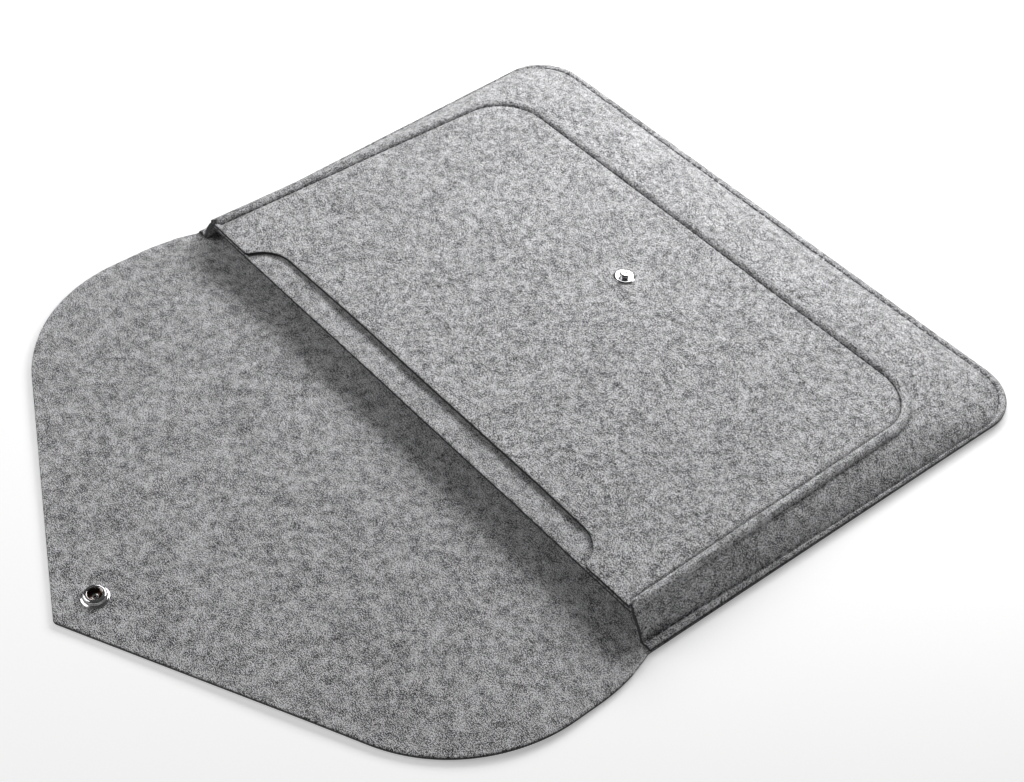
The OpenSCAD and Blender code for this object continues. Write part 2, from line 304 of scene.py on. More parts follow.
def flap_outline():
    step = 2.0
    turn = math.pi / 2 - math.atan(TIP_SLOPE)
    top = TIP_Y + FLAP_HALF * TIP_SLOPE + SHOULDER_R * math.tan(turn / 2)
    centre = (FLAP_HALF - SHOULDER_R, top)
    ys = np.linspace(SPLIT_Y, top, 22)
    left = [(-float(side_x(y)), float(y)) for y in ys[:-1]]
    shoulder = arc((-centre[0], top), SHOULDER_R, 180, 180 + math.degrees(turn), step)
    foot = (-centre[0] - SHOULDER_R * math.cos(turn), top - SHOULDER_R * math.sin(turn))
    tip_r = 2.5
    lean = math.atan(TIP_SLOPE)
    tip_c = (0.0, TIP_Y + tip_r / math.cos(lean))
    tip_from = (-tip_r * math.sin(lean), tip_c[1] - tip_r * math.cos(lean))
    edge = run(foot, tip_from, step)
    nose = arc(tip_c, tip_r, 270 - math.degrees(lean), 270, 0.8)
    half = left + shoulder + edge + nose
    butt = run((float(side_x(SPLIT_Y)), SPLIT_Y), (-float(side_x(SPLIT_Y)), SPLIT_Y), step)
    tip = (0.0, tip_c[1] - tip_r)
    outline = butt + half + [tip] + [(-x, y) for x, y in reversed(half[1:])]
    tags = [1.0] * (len(butt) + 1) + [0.0] * (len(outline) - len(butt) - 1)
    return outline, tags


def flap_lift(p):
    """How far the flap stands off the table: a little at its free edges, nothing at the fold and the snap."""
    x, y = p[:, 0], p[:, 1]
    away = smooth((FOLD2_Y - y) / 60)
    from_snap = smooth((np.hypot(x, y - SOCKET[1]) - 9) / 30)
    rim = smooth(np.abs(x) / FLAP_HALF)
    return away * from_snap * (0.5 + 0.5 * waves(p, 75, 3.1)) * (0.25 + 0.9 * rim)


def back_sheet():
    """The body part of the back sheet, as far as the middle of the spine."""
    outline, tags = back_outline()
    verts, faces, cut = felt_sheet(outline, pulled_or_butt, spacing=6.0, tags=tags)
    obj = add_mesh("back_felt", verts, faces, verts * MM, cut=cut)
    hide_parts("back_panel")
    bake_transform(obj)
    return obj


def flap_sheet():
    """The rest of the back sheet: half the spine and the flap."""
    outline, tags = flap_outline()
    dots = [((0.0, float(SOCKET[1])), 11.0)]
    verts, faces, cut = felt_sheet(outline, cut_or_butt, spacing=4.0, dots=dots, tags=tags)
    cloth = verts * MM
    press(verts, SOCKET, 6.0, True, -0.12)
    press(verts, SOCKET, 6.3, False, 0.97)
    verts[:, 2] += flap_lift(verts)
    obj = add_mesh("flap_felt", verts, faces, cloth, cut=cut)
    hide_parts("flap_spine", "flap_panel")
    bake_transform(obj)
    return obj


# ---------------------------------------------------------------- the two front sheets
def front_outline(inset, mouth):
    """Outline of a front sheet in its own plane, from the left end of its mouth.

    Also returns how far each point's edge turns up: 0 at the mouth, 1 round the other three sides.
    """
    step = 1.6
    half = FRONT_HALF - inset
    c = (FRONT_HALF - FRONT_R, FRONT_D - FRONT_R)
    r = FRONT_R - inset
    side = run((half, 0.0), (half, 6.0), 0.6) + run((half, 6.0), (half, c[1]), step)
    far = [(x, FRONT_D - inset) for x in np.linspace(c[0], -c[0], 150)]
    right = side + arc(c, r, 0, 90, step)
    left = [(-x, y) for x, y in right[::-1]]
    outline = mouth + right + far + left[:-1]
    y = np.array(outline)[:, 1]
    tags = smooth((y - 0.6) / 2.4)
    tags[:len(mouth)] = 0
    return outline, tags


def rim_profile(turned, plain):
    """Edge that turns up into the raised seam, or is simply cut, or between the two."""
    turned, plain = np.array(turned, float), np.array(plain, float)
    return lambda tag: plain + (turned - plain) * tag


def front_sheet():
    """The compartment's roof: the sheet behind the pocket."""
    mouth = run((-FRONT_HALF, 0.0), (FRONT_HALF, 0.0), 2.0)
    outline, tags = front_outline(0.0, mouth)
    t, e = FELT_T, EDGE_T
    profile = rim_profile(
        [(-5, t), (-e - 0.2, t), (-e, t + 0.3), (-e, bead(-e)), (-0.72 * e, bead(-0.72 * e)),
         (-e / 2, bead(-e / 2)), (-0.28 * e, bead(-0.28 * e)), (0, bead(0)), (0, 0.6), (-0.4, 0.1), (-5, 0)],
        [(-5, t), (-0.9, t), (-0.5, t - 0.06), (-0.2, t - 0.22), (-0.03, t - 0.5), (0, t - 0.9),
         (-0.05, 0.7), (-0.25, 0.4), (-0.7, 0.2), (-1.6, 0), (-5, 0)])
    verts, faces, cut = felt_sheet(outline, profile, spacing=5.0, tags=tags)
    cloth = verts * MM
    verts[:, 2] += unevenness(verts)
    obj = add_mesh("front_felt", roof(verts), faces, cloth, cut=cut)
    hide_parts("front_panel")
    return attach(obj, "sleeve")


def pocket_sheet(stud_at):
    """The outer pocket, with its finger scoop."""
    inset = EDGE_T + PLY_GAP
    half = FRONT_HALF - inset
    lip_r = 3.0
    c = (SCOOP_HALF - SCOOP_R, SCOOP_D - SCOOP_R)
    start = math.degrees(math.asin((lip_r - c[1]) / (SCOOP_R + lip_r)))
    lip_c = (c[0] + (SCOOP_R + lip_r) * math.cos(math.radians(start)), lip_r)
    right = (arc(c, SCOOP_R, 90, start, 1.2)[1:] + arc(lip_c, lip_r, 180 + start, 270, 0.6)
             + run((lip_c[0], 0.0), (half, 0.0), 1.6))
    left = [(-x, y) for x, y in right[::-1]] + [(-c[0], SCOOP_D)]
    straight = run((-c[0], SCOOP_D), (c[0], SCOOP_D), 1.6)[1:] + [(c[0], SCOOP_D)]
    mouth = [(-half, 0.0)] + left + straight + right
    outline, tags = front_outline(inset, mouth)
    t0, t1, e = POCKET_Z, POCKET_Z + FELT_T, EDGE_T
    profile = rim_profile(
        [(-6, t1), (-e - 2.4, t1), (-e - 1.5, t1 - 0.12), (-e - 1.0, t1 - 0.45), (-e - 0.62, t1 - 1.15),
         (-e - 0.1, t1 - 1.35)]
        + [(d, bead(d - inset)) for d in (-e + 0.02, -e + 0.2, -e + 0.6, -e + 1.05, 0)]
        + [(0, t0 + 0.6), (-0.3, t0 + 0.1), (-0.9, t0), (-6, t0)],
        [(-2.4, t1), (-1.6, t1), (-0.9, t1 - 0.01), (-0.5, t1 - 0.06), (-0.25, t1 - 0.2), (-0.08, t1 - 0.42),
         (0, t1 - 0.7), (0, t1 - 1.0), (0, t0 + 0.7), (-0.1, t0 + 0.45), (-0.3, t0 + 0.3),
         (-0.7, t0 + 0.2), (-1.2, t0 + 0.1), (-1.8, t0 + 0.03), (-2.4, t0)])
    verts, faces, cut = felt_sheet(outline, profile, spacing=3.6, dots=[(stud_at, 11.0)], tags=tags)
    cloth = verts * MM + np.array([0.4, 0, 0])
    d = np.hypot(verts[:, 0] - stud_at[0], verts[:, 1] - stud_at[1])
    verts[:, 2] -= 0.22 * (1 - smooth((d - 5.6) / 4.0))
    verts[:, 2] += 0.8 * smooth((SCOOP_D + 24 - verts[:, 1]) / 24) * smooth((116 - np.abs(verts[:, 0])) / 60)
    verts[:, 2] += unevenness(verts)
    obj = add_mesh("pocket_felt", roof(verts), faces, cloth, cut=cut)
    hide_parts("pocket_panel")
    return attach(obj, "sleeve")


def unevenness(p):
    """The small rise and fall of the front, shared by everything that is sewn to it."""
    hold = smooth(np.hypot(p[:, 0] - STUD_AT[0], p[:, 1] - STUD_AT[1]) / 16 - 0.3)
    return hold * (0.32 * waves(p, 70, 7.7) + 0.10 * waves(p, 24, 1.3))


# ---------------------------------------------------------------- the band
def band_path():
    """Sections along the band: ridge point, outer point, outward direction, belly, distance along it."""
    c, r = np.array([FRONT_HALF - FRONT_R, FRONT_D - FRONT_R]), FRONT_R
    bc, br = np.array([BODY_HALF - CORNER_R, FAR_Y - CORNER_R]), CORNER_R
    step = PITCH / 4
    n_side, n_arc, n_far = round(bc[1] / step), round(br * math.pi / 2 / step), round(bc[0] / step)
    f = np.concatenate([[0, 0.12, 0.35, 0.7], np.arange(1, n_side)]) / n_side
    spread = BODY_HALF - MOUTH_HALF
    side = [((FRONT_HALF, g * c[1]), (MOUTH_HALF + spread * g, g * bc[1]), (1, 0), SIDE_BELLY) for g in f]
    turn = []
    for g in np.arange(n_arc) / n_arc:
        u = np.array([math.cos(g * math.pi / 2), math.sin(g * math.pi / 2)])
        turn.append((c + r * u, bc + br * u, u, SIDE_BELLY + (FAR_BELLY - SIDE_BELLY) * g))
    far = [((g * c[0], FRONT_D), (g * bc[0], FAR_Y), (0, 1), FAR_BELLY)
           for g in 1 - np.arange(n_far + 1) / n_far]
    half = side + turn + far
    mirror = [((-a[0], a[1]), (-o[0], o[1]), (-u[0], u[1]), b) for a, o, u, b in half[-2::-1]]
    whole = half + mirror
    ridge = np.array([s[0] for s in whole], float)
    outer = np.array([s[1] for s in whole], float)
    out = np.array([s[2] for s in whole], float)
    belly = np.array([s[3] for s in whole], float)
    along = np.concatenate([[0], np.cumsum(np.linalg.norm(np.diff(outer, axis=0), axis=1))])
    return ridge, outer, out, belly, along


def band():
    """Flange, wall and turned-up edge in one swept sheet."""
    ridge, outer, out, belly, along = band_path()
    t = FELT_T
    rise = unevenness(np.column_stack([ridge, ridge[:, 0]]))

    def at(d, z):
        """d out from the front sheet's edge and z up, in the front panels' plane."""
        return roof(np.column_stack([ridge + out * d, np.full(len(ridge), z) + rise]))

    top, under = at(EDGE_T + PLY_GAP + 0.35, POCKET_Z + 0.75), at(PLY_GAP, POCKET_Z - 0.8 * t)
    across = outer - top[:, :2]
    across /= np.linalg.norm(across, axis=1)[:, None]

    def on_flange(inward, z):
        return np.column_stack([outer - across * inward, np.broadcast_to(z, len(outer))])

    crease = on_flange(FLANGE_W, 2 * t)
    bend = np.arctan2(top[:, 2] - crease[:, 2], np.linalg.norm(crease[:, :2] - top[:, :2], axis=1))
    inner = crease - np.column_stack([across * (t * np.tan(bend / 2))[:, None], np.full(len(outer), t)])
    lean = np.column_stack([across * np.sin(bend)[:, None], np.cos(bend)])

    def wall(a, b, u, extra=0.0):
        return a + (b - a) * u + lean * (4 * u * (1 - u) * belly + extra)[:, None]

    # The flange seam pulls a groove that is deepest at the stitches, and tucks the rim in between them.
    holes = np.cos(2 * math.pi * along / PITCH)
    dip = 0.5 + 0.14 * holes
    rumple = 0.22 * waves(np.column_stack([along, np.zeros(len(outer))]), 17, 5.0)
    tuck = 0.05 * holes
    e, top_z = EDGE_T + PLY_GAP, RIDGE_TOP
    us = (0.10, 0.22, 0.36, 0.5, 0.64, 0.78, 0.9)
    outside = ([at(d, bead(d)) for d in (0.08, 0.45, 0.85, e - 0.32, e - 0.1, e - 0.01)]
               + [at(e - 0.1, POCKET_Z + 1.2), at(e, POCKET_Z + 0.75)]
               + [wall(top, crease, u, rumple * 4 * u * (1 - u)) for u in us]
               + [on_flange(FLANGE_W - 0.15, 2 * t - 0.2 - dip / 2),
                  on_flange(SEAM_IN + 0.4, 2 * t - 0.3 - dip), on_flange(SEAM_IN, 2 * t - 0.3 - dip),
                  on_flange(SEAM_IN - 0.4, 2 * t - 0.1 - dip / 2),
                  on_flange(SEAM_IN - 0.9, 2 * t - 0.02), on_flange(2.1, 2 * t - 0.03),
                  on_flange(1.3, 2 * t - 0.2 + tuck / 2), on_flange(0.75, 2 * t - 0.46 + tuck),
                  on_flange(0.32, 2 * t - 0.86 + tuck), on_flange(0.08, 2 * t - 1.38),
                  on_flange(0.0, 2 * t - 1.62)])
    inside_face = ([at(PLY_GAP, bead(PLY_GAP) - 0.05), at(PLY_GAP, top_z - 0.6), at(PLY_GAP, top_z - 1.0),
                    at(PLY_GAP, top_z - 1.4), at(PLY_GAP, top_z - 1.9), at(PLY_GAP, top_z - 2.4),
                    at(PLY_GAP, top_z - 3.0), at(PLY_GAP, POCKET_Z - 0.3)]
                   + [wall(under, inner, u, rumple * 4 * u * (1 - u)) for u in us]
                   + [inner + [0, 0, 0.02]]
                   + [on_flange(w, t + 0.02) for w in (SEAM_IN + 0.1, SEAM_IN - 0.3, SEAM_IN - 0.8,
                                                       SEAM_IN - 1.3, 2.0, 1.4, 0.9)]
                   + [on_flange(0.5, t + 0.03), on_flange(0.2, t + 0.08), on_flange(0.02, t + 0.2)])
    m, s = len(outside), len(outer)
    loop = np.stack(outside + inside_face[::-1], 1)
    # The two cut ends at the mouth are rounded: each end's section shrinks towards the felt's middle.
    middle = (loop + loop[:, ::-1]) / 2
    for ends in (range(3), range(s - 1, s - 4, -1)):
        for i, share in zip(ends, (0.28, 0.1, 0.02)):
            loop[i] += (middle[i] - loop[i]) * share
    count = 2 * m
    verts = loop.reshape(-1, 3)
    faces = [(a + j, a + (j + 1) % count, a + count + (j + 1) % count, a + count + j)
             for a in range(0, (s - 1) * count, count) for j in range(count)]
    last = (s - 1) * count
    for j in range(m - 1):
        a, b = count - 1 - j, count - 2 - j
        faces.append((j, a, b, j + 1))
        faces.append((last + j, last + j + 1, last + b, last + a))
    # Painted shade: the flange's outer cut edge and the two cut ends at the mouth are marked for the
    # near-black edge shade.
    edge = np.concatenate([np.zeros(m - 3), [0.5, 1, 1, 1, 0.5], np.zeros(m - 2)])
    ends = np.zeros(s)
    ends[[0, 1, s - 2, s - 1]] = 1, 0.7, 0.7, 1
    cut = np.maximum(edge[None, :], ends[:, None]).ravel()
    obj = add_mesh("band_felt", verts, faces, verts * MM + [0, 0.7, 0], cut=cut)
    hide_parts("gusset")
    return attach(obj, "sleeve")


# ---------------------------------------------------------------- threads
def seam_points(half_w0, half_w1, centre, r, far_y):
    """Stitches of a U-shaped seam as (x, y, direction), as they lie in the CAD nodes."""
    n = int((centre[1] - 4) // PITCH)
    side = [(half_w0 + (half_w1 - half_w0) * y / centre[1], y, math.pi / 2)
            for y in (4 + (centre[1] - 4) * i / n for i in range(n + 1))]
    k = round(r * math.pi / 2 / PITCH)
    turn = [(centre[0] + r * math.cos(a), centre[1] + r * math.sin(a), a + math.pi / 2)
            for a in (math.pi / 2 * i / k for i in range(1, k))]
    right = side + turn
    left = [(-x, y, -a) for x, y, a in right]
    m = int(centre[0] // PITCH)
    far = [(x, far_y(x), math.pi) for x in (centre[0] * i / m for i in range(-m, m + 1))]
    return right + far + left


def threads(name, node, stitches):
    """Rounded stitches. Each is (place, along, up): it rises from its two holes and lies along the felt."""
    ring, rows = 8, np.array([(-0.5, -0.55, 0.55), (-0.49, -0.25, 0.85), (-0.4, 0.04, 1), (-0.2, 0.15, 1.02),
                              (0, 0.18, 1.03), (0.2, 0.15, 1.02), (0.4, 0.04, 1), (0.49, -0.25, 0.85),
                              (0.5, -0.55, 0.55)])
    verts, faces = [], []
    turns = np.linspace(0, 2 * math.pi, ring, endpoint=False)
    for place, along, up in stitches:
        side = np.cross(along, up)
        base = len(verts)
        for f, h, fat in rows:
            mid = place + along * (f * STITCH_L) + up * h
            for a in turns:
                verts.append(mid + (side * math.cos(a) + up * math.sin(a) * 0.85) * THREAD_R * fat)
        for i in range(len(rows) - 1):
            for j in range(ring):
                a, b = base + i * ring + j, base + i * ring + (j + 1) % ring
                faces.append((a, b, b + ring, a + ring))
        faces.append(tuple(base + j for j in reversed(range(ring))))
        faces.append(tuple(base + (len(rows) - 1) * ring + j for j in range(ring)))
    obj = add_mesh(name, np.array(verts), faces, np.array(verts) * MM)
    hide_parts(node)
    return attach(obj, "sleeve")


def base_threads():
    centre = (BODY_HALF - CORNER_R, FAR_Y - CORNER_R)
    spots = seam_points(MOUTH_HALF - SEAM_IN, BODY_HALF - SEAM_IN, centre, CORNER_R - SEAM_IN,
                        lambda x: FAR_Y - SEAM_IN)
    up = np.array([0, 0, 1.0])
    rows = []
    for x, y, a in spots:
        along = np.array([math.cos(a), math.sin(a), 0])
        rows.append((np.array([x, y, BASE_TOP_Z]), along, up))
        rows.append((np.array([x, y, BASE_UNDER_Z]), along, -up))
    return threads("base_thread_stitches", "base_thread", rows)


def ridge_threads():
    centre = (FRONT_HALF - FRONT_R, FRONT_D - FRONT_R)
    spots = seam_points(FRONT_HALF, FRONT_HALF, centre, FRONT_R, lambda x: FRONT_D)
    top = POCKET_Z + FELT_T
    outer_row = (EDGE_T + PLY_GAP - 0.5, top - 0.5, 1)
    inner_row = (-2 * EDGE_T - PLY_GAP - 0.05, top - 0.75, -1)
    rows = []
    for x, y, a in spots:
        out = np.array([math.sin(a), -math.cos(a), 0])
        rise = float(unevenness(np.array([[x, y, 0.0]]))[0])
        for d, z, face in (outer_row, inner_row):
            spot = np.array([x, y, z + rise]) + out * d
            ends = roof(np.array([spot, spot + [math.cos(a), math.sin(a), 0], spot + out * face]))
            rows.append((ends[0], ends[1] - ends[0], ends[2] - ends[0]))
    return threads("ridge_thread_stitches", "ridge_thread", rows)


# ---------------------------------------------------------------- the snap
def lathe(name, profile, place=None, steps=96):
    """A turned piece from (radius, height) pairs that start and end on the axis."""
    profile = np.array(profile, float)
    inner = profile[1:-1]
    turns = np.linspace(0, 2 * math.pi, steps, endpoint=False)
    verts = [(0, 0, profile[0, 1])]
    for r, z in inner:
        verts += [(r * math.cos(a), r * math.sin(a), z) for a in turns]
    verts.append((0, 0, profile[-1, 1]))
    faces = [(0, 1 + (j + 1) % steps, 1 + j) for j in range(steps)]
    for i in range(len(inner) - 1):
        a, b = 1 + i * steps, 1 + (i + 1) * steps
        faces += [(a + j, a + (j + 1) % steps, b + (j + 1) % steps, b + j) for j in range(steps)]
    end, a = len(verts) - 1, 1 + (len(inner) - 1) * steps
    faces += [(a + j, a + (j + 1) % steps, end) for j in range(steps)]
    verts = np.array(verts, float)
    return add_mesh(name, place(verts) if place else verts, faces, verts * MM, sharp=38)


def bow(c, r, a0, a1, n=6):
    """A rounded stretch of a turned profile."""
    return [(c[0] + r * math.cos(math.radians(a0 + (a1 - a0) * i / n)),
             c[1] + r * math.sin(math.radians(a0 + (a1 - a0) * i / n))) for i in range(n + 1)]


def snap_stud():
    z0 = POCKET_Z + FELT_T
    base = (STUD_HI[0] - STUD_LO[0]) / 2
    profile = ([(0, -0.1), (base - 0.4, -0.1)] + bow((base - 0.25, 0.12), 0.25, -60, 60) + [(base - 0.5, 0.5)]
               + bow((base - 1.0, 0.42), 0.36, 50, 100) + [(3.9, 0.72), (3.4, 0.66), (3.0, 0.6), (2.5, 0.64)]
               + [(2.2, 0.8), (2.12, 1.1), (2.16, 1.4)] + bow((2.3, 1.95), 0.5, -60, 70, 8)
               + [(2.2, 2.6), (1.7, 2.76), (1.2, 2.74), (0.95, 2.6), (0.85, 2.2), (0, 2.15)])

    def place(v):
        return roof(v + [STUD_AT[0], STUD_AT[1], z0])

    obj = lathe("stud_metal", profile, place)
    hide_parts("snap_stud")
    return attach(obj, "sleeve")


def snap_socket():
    cap_r, h = (SOCKET_HI[0] - SOCKET_LO[0]) / 2, SOCKET_HI[2] - SOCKET_LO[2]
    profile = ([(0, 0.02), (cap_r - 0.4, 0.02)] + bow((cap_r - 0.28, 0.28), 0.26, -70, 70)
               + [(cap_r - 0.7, 0.62), (cap_r - 1.0, 0.8), (cap_r - 1.12, 1.1)]
               + bow((cap_r - 2.2, h - 1.15), 1.12, 12, 88, 10) + bow((3.55, h - 0.35), 0.33, 90, 180, 6)
               + [(3.22, h - 0.6), (3.35, 2.2), (4.2, 2.2), (4.2, 1.7), (3.3, 1.7), (3.25, 0.75), (2.6, 0.62),
                  (1.7, 0.6), (1.6, 0.55), (0, 0.5)])
    obj = lathe("socket_metal", profile, lambda v: v + [0, SOCKET[1], SOCKET_LO[2]])
    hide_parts("snap_socket")
    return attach(obj, "flap")


def snap_cap():
    low, high = box_mm("snap_cap")
    r, h = (high[0] - low[0]) / 2, high[2] - low[2]
    profile = ([(0, 0.0), (r - 1.8, 0.0), (r - 1.0, 0.08)] + bow((r - 0.5, 0.55), 0.48, -70, 40)
               + [(r - 0.3, 0.9), (1.6, 0.9), (1.55, 1.2), (1.55, h - 0.25)]
               + bow((1.25, h - 0.3), 0.3, 0, 80)
               + [(0.7, h - 0.02), (0.5, h - 0.25), (0, h - 0.35)])
    obj = lathe("cap_metal", profile, lambda v: v + [0, SOCKET[1], low[2]])
    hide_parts("snap_cap")
    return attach(obj, "flap")


def snap_spring():
    """One loop of round wire: two straight sides across the bore, joined by arcs in the groove."""
    low, high = box_mm("snap_spring")
    wire, z = 0.28, (low[2] + high[2]) / 2
    offset, half = 3.28, 2.2
    loop_r = math.hypot(offset, half)
    turn = math.degrees(math.atan2(half, offset))
    right = arc((0, 0), loop_r, -90 + turn, 90 - turn, 0.35)
    top = run((half, offset), (-half, offset), 0.5)
    path = np.array(right + top + [(-x, -y) for x, y in right + top])
    ahead = np.roll(path, -1, 0) - np.roll(path, 1, 0)
    ahead /= np.linalg.norm(ahead, axis=1)[:, None]
    side = np.column_stack([ahead[:, 1], -ahead[:, 0]])
    ring, n = 12, len(path)
    verts = [(p[0] + s[0] * wire * math.cos(a), SOCKET[1] + p[1] + s[1] * wire * math.cos(a),
              z + wire * math.sin(a))
             for p, s in zip(path, side) for a in np.linspace(0, 2 * math.pi, ring, endpoint=False)]
    faces = [(i * ring + j, i * ring + (j + 1) % ring,
              (i + 1) % n * ring + (j + 1) % ring, (i + 1) % n * ring + j)
             for i in range(n) for j in range(ring)]
    obj = add_mesh("spring_wire", np.array(verts), faces, np.array(verts) * MM)
    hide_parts("snap_spring")
    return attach(obj, "flap")


# ---------------------------------------------------------------- materials
# The felt's dark and pale wool, and the near-black painted shade of its cut edges.
DARK, LIGHT = (0.04, 0.04, 0.042), (0.84, 0.838, 0.855)
CUT_EDGE_SHADE = (0.03, 0.03, 0.032)


class Nodes:
    """Shorthand for building a material's node tree."""

    def __init__(self, name):
        self.material = bpy.data.materials.new(name)
        self.material.use_nodes = True
        self.tree = self.material.node_tree
        self.bsdf = self.tree.nodes["Principled BSDF"]

    def new(self, kind, inputs=(), **props):
        node = self.tree.nodes.new(kind)
        for key, value in props.items():
            setattr(node, key, value)
        for key, value in dict(inputs).items():
            self.put(node.inputs[key], value)
        return node

    def put(self, socket, value):
        if isinstance(value, bpy.types.NodeSocket):
            self.tree.links.new(value, socket)
        else:
            socket.default_value = value

    def math(self, operation, a, b=None, clamp=False):
        node = self.new("ShaderNodeMath", {0: a}, operation=operation, use_clamp=clamp)
        if b is not None:
            self.put(node.inputs[1], b)
        return node.outputs[0]

    def scale(self, vector, by):
        node = self.new("ShaderNodeVectorMath", {0: vector}, operation="MULTIPLY")
        node.inputs[1].default_value = (by, by, by) if isinstance(by, (int, float)) else by
        return node.outputs[0]

    def noise(self, vector, scale, detail=2.0, rough=0.5):
        return self.new("ShaderNodeTexNoise", {"Vector": vector, "Scale": scale, "Detail": detail,
                                               "Roughness": rough}, noise_dimensions="3D").outputs["Fac"]

    def ramp(self, value, low, high, to_low=0.0, to_high=1.0):
        node = self.new("ShaderNodeMapRange", {"Value": value, "From Min": low, "From Max": high,
                                               "To Min": to_low, "To Max": to_high})
        return node.outputs["Result"]

    def mix(self, fac, a, b):
        node = self.new("ShaderNodeMix", data_type="RGBA")
        self.put(node.inputs["Factor"], fac)
        self.put(node.inputs["A"], a)
        self.put(node.inputs["B"], b)
        return node.outputs["Result"]


def felt_material(name, dark, light, seed):
    """Heather wool felt: short crossing fibres of dark and pale wool, and soft blotches.

    It is matt with a faint sheen, and its cut edges are painted near black: painted shade for the shadow
    those edges sit in.
    """
    n = Nodes(name)
    place = n.new("ShaderNodeAttribute", attribute_name="felt").outputs["Vector"]
    mm = n.new("ShaderNodeVectorMath", {0: n.scale(place, 1000.0), 1: (seed * 37.0, seed * 11.0, seed)},
               operation="ADD").outputs[0]
    stray = n.new("ShaderNodeTexNoise", {"Vector": mm, "Scale": 0.35, "Detail": 1.0}).outputs["Color"]
    bent = n.new("ShaderNodeVectorMath", {0: mm, 1: n.scale(stray, 2.2)}, operation="ADD").outputs[0]
    fibres = []
    lays = [(-35, 2.2, 0.34), (-62, 1.9, 0.33), (10, 1.6, 0.34), (95, 1.6, 0.36)]
    for i, (angle, length, width) in enumerate(lays):
        lay = n.new("ShaderNodeMapping", {"Vector": bent, "Rotation": (0, 0, math.radians(angle)),
                                          "Scale": (1 / length, 1 / width, 1 / width),
                                          "Location": (i * 5.3, i * 2.1, i * 9.7)}).outputs[0]
        fibres.append(n.noise(lay, 1.0, 1.0))
    crossed = n.math("MAXIMUM", n.math("MAXIMUM", fibres[0], fibres[1]),
                     n.math("MAXIMUM", fibres[2], fibres[3]))
    sunk = n.math("MINIMUM", n.math("MINIMUM", fibres[0], fibres[2]),
                  n.math("MINIMUM", fibres[1], fibres[3]))
    grain = n.noise(mm, 2.0, 2.0, 0.75)
    blotch = n.noise(mm, 0.055, 3.0, 0.6)
    mottle = n.noise(mm, 0.24, 2.0, 0.6)
    mixed = n.math("ADD", n.ramp(crossed, 0.52, 0.78, -0.2, 0.9), n.ramp(sunk, 0.22, 0.46, -0.65, 0.05))
    mixed = n.math("ADD", mixed, n.ramp(grain, 0.25, 0.75, -2.7, 2.7))
    mixed = n.math("ADD", mixed, n.ramp(blotch, 0.3, 0.7, -0.14, 0.14))
    mixed = n.math("ADD", mixed, n.ramp(mottle, 0.3, 0.7, -0.5, 0.5))
    share = n.math("ADD", mixed, 0.42, clamp=True)
    # The cut attribute marks where the painted edge shade goes.
    edge = n.new("ShaderNodeAttribute", attribute_name="cut").outputs["Fac"]
    cloth = n.mix(share, (*dark, 1), (*light, 1))
    # Painted shade: base colour is mixed towards near black on the cut edges, standing in for their shadow.
    n.put(n.bsdf.inputs["Base Color"], n.mix(n.ramp(edge, 0.2, 0.9), cloth, (*CUT_EDGE_SHADE, 1)))
    n.put(n.bsdf.inputs["Roughness"], n.ramp(grain, 0.2, 0.8, 0.86, 1.0))
    n.bsdf.inputs["Specular IOR Level"].default_value = 0.18
    n.bsdf.inputs["Sheen Weight"].default_value = 0.15
    n.bsdf.inputs["Sheen Roughness"].default_value = 0.55
    height = n.math("ADD", n.math("MULTIPLY", crossed, 0.8), n.math("MULTIPLY", grain, 0.7))
    n.put(n.bsdf.inputs["Normal"], n.new("ShaderNodeBump", {"Height": height, "Strength": 0.8,
                                                            "Distance": 0.0003}).outputs[0])
    return n.material


def thread_material():
    """Twisted sewing thread, coloured near black as painted shade for the shadowed seam groove it lies in."""
    n = Nodes("sewing_thread")
    place = n.scale(n.new("ShaderNodeAttribute", attribute_name="felt").outputs["Vector"], 1000.0)
    twist = n.new("ShaderNodeTexWave", {"Vector": place, "Scale": 1.1, "Distortion": 1.5},
                  wave_type="BANDS", bands_direction="DIAGONAL").outputs["Fac"]
    tone = n.noise(place, 0.6)
    shade = n.math("MULTIPLY", twist, n.ramp(tone, 0.3, 0.7, 0.6, 1.0))
    # Painted shade: the thread's near-black colour stands in for the shadow of the groove; the thread itself
    # is paler.
    n.put(n.bsdf.inputs["Base Color"], n.mix(shade, (0.03, 0.03, 0.033, 1), (0.09, 0.09, 0.095, 1)))
    n.bsdf.inputs["Roughness"].default_value = 0.75
    n.bsdf.inputs["Sheen Weight"].default_value = 0.1
    n.put(n.bsdf.inputs["Normal"], n.new("ShaderNodeBump", {"Height": twist, "Strength": 0.5,
                                                            "Distance": 0.0001}).outputs[0])
    return n.material


def metal_material(name, bright, dull, rough, inner=None):
    """Plated metal with fine scratches and faint smudges.

    inner is (radius in mm, colour) of a darker bore.
    """
    n = Nodes(name)
    place = n.scale(n.new("ShaderNodeAttribute", attribute_name="felt").outputs["Vector"], 1000.0)
    smudge = n.noise(place, 0.45, 3.0)
    scratch = n.noise(n.scale(place, (1.0, 9.0, 9.0)), 1.3, 2.0)
    colour = n.mix(n.ramp(smudge, 0.35, 0.7), (*bright, 1), (*dull, 1))
    if inner:
        flat = n.new("ShaderNodeVectorMath", {0: n.scale(place, (1.0, 1.0, 0.0))}, operation="LENGTH")
        bore = n.ramp(flat.outputs["Value"], inner[0] - 0.15, inner[0] + 0.15, 1.0, 0.0)
        colour = n.mix(bore, colour, (*inner[1], 1))
    n.put(n.bsdf.inputs["Base Color"], colour)
    n.bsdf.inputs["Metallic"].default_value = 1.0
    n.put(n.bsdf.inputs["Roughness"], n.ramp(scratch, 0.3, 0.7, rough, rough + 0.12))
    n.put(n.bsdf.inputs["Normal"], n.new("ShaderNodeBump", {"Height": scratch, "Strength": 0.12,
                                                            "Distance": 0.00003}).outputs[0])
    return n.material


def dress(obj, material):
    obj.data.materials.clear()
    obj.data.materials.append(material)


